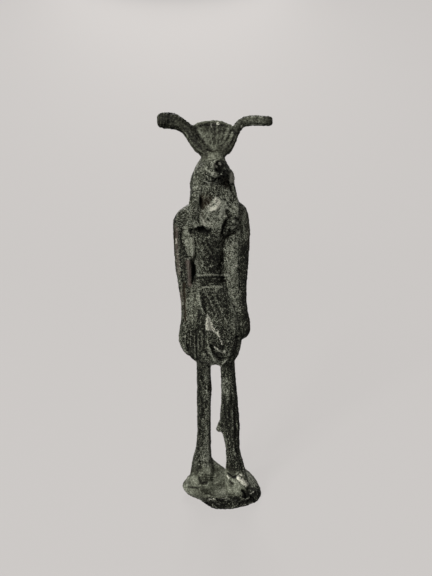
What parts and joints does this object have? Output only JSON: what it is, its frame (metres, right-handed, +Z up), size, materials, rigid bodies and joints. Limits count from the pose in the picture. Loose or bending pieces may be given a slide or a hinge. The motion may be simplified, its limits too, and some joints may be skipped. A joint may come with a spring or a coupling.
{
  "type": "thoth statuette",
  "caption": "Small cast bronze statuette of a striding ibis-headed god in a pleated kilt, long wig and horned crown, its bill broken off, on a low uneven plinth.",
  "frame": {"origin": "middle of the plinth's flat underside", "axes": "+Z up along the standing figure, -Y the way it faces, +X to the figure's left"},
  "size_m": [0.0224, 0.0118, 0.0801],
  "materials": {
    "patinated_bronze": "dark green-black patina, worn and pitted, with pale grey-green bloom and white crusts"
  },
  "bodies": {
    "root": {"statuette": "patinated_bronze"}
  },
  "joints": []
}
